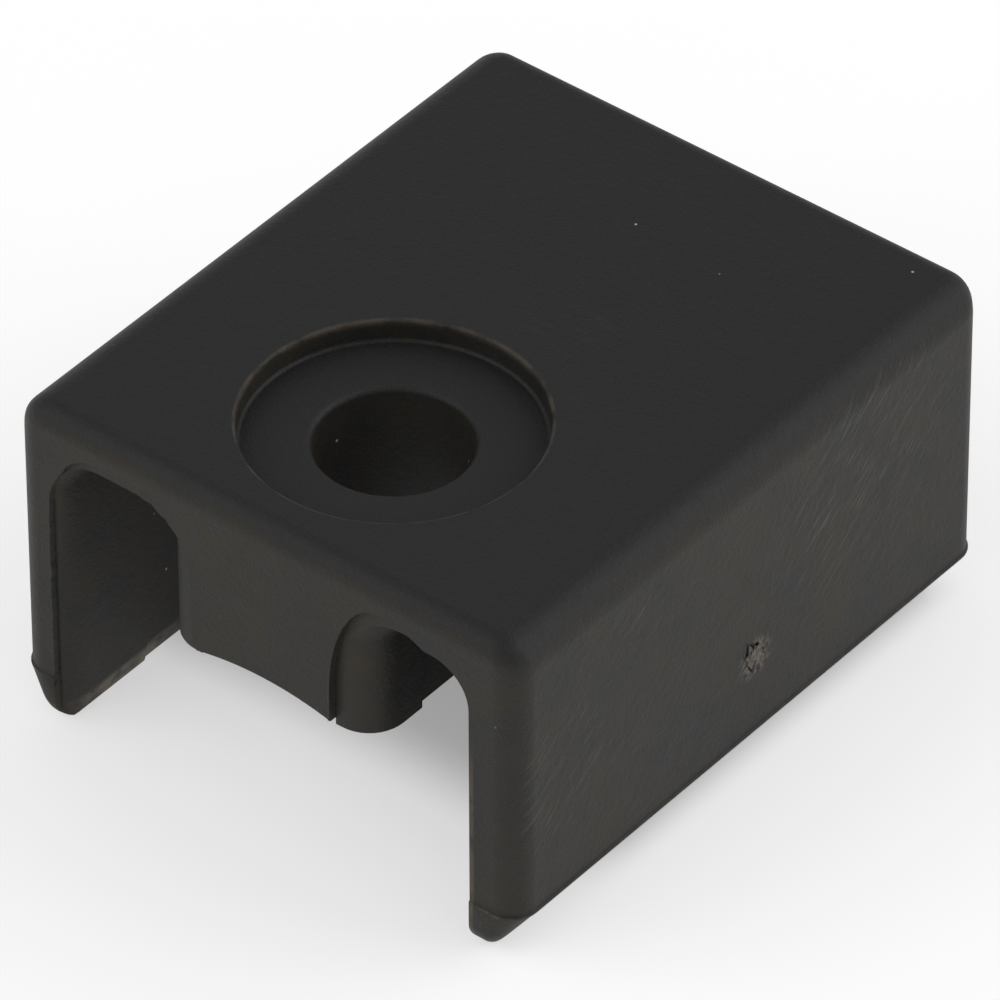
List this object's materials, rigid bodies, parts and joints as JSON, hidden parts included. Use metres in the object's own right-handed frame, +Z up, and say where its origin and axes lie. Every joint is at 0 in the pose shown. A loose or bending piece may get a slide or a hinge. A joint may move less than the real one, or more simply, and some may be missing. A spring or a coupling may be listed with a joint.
{
  "type": "channel cover",
  "caption": "Moulded black rubber cover, open underneath, with a recessed bore through a hanging boss and two open front slots beside it.",
  "frame": {"origin": "middle of the footprint, on the plane of the wall rims", "axes": "+X across the cover, +Y from the slotted front to the closed rear, +Z up along the bore, from the rims to the flat top"},
  "size_m": [0.0206, 0.0242, 0.0128],
  "materials": {
    "black_rubber": "matte moulded"
  },
  "bodies": {
    "root": {"channel_cover": "black_rubber"}
  },
  "joints": []
}
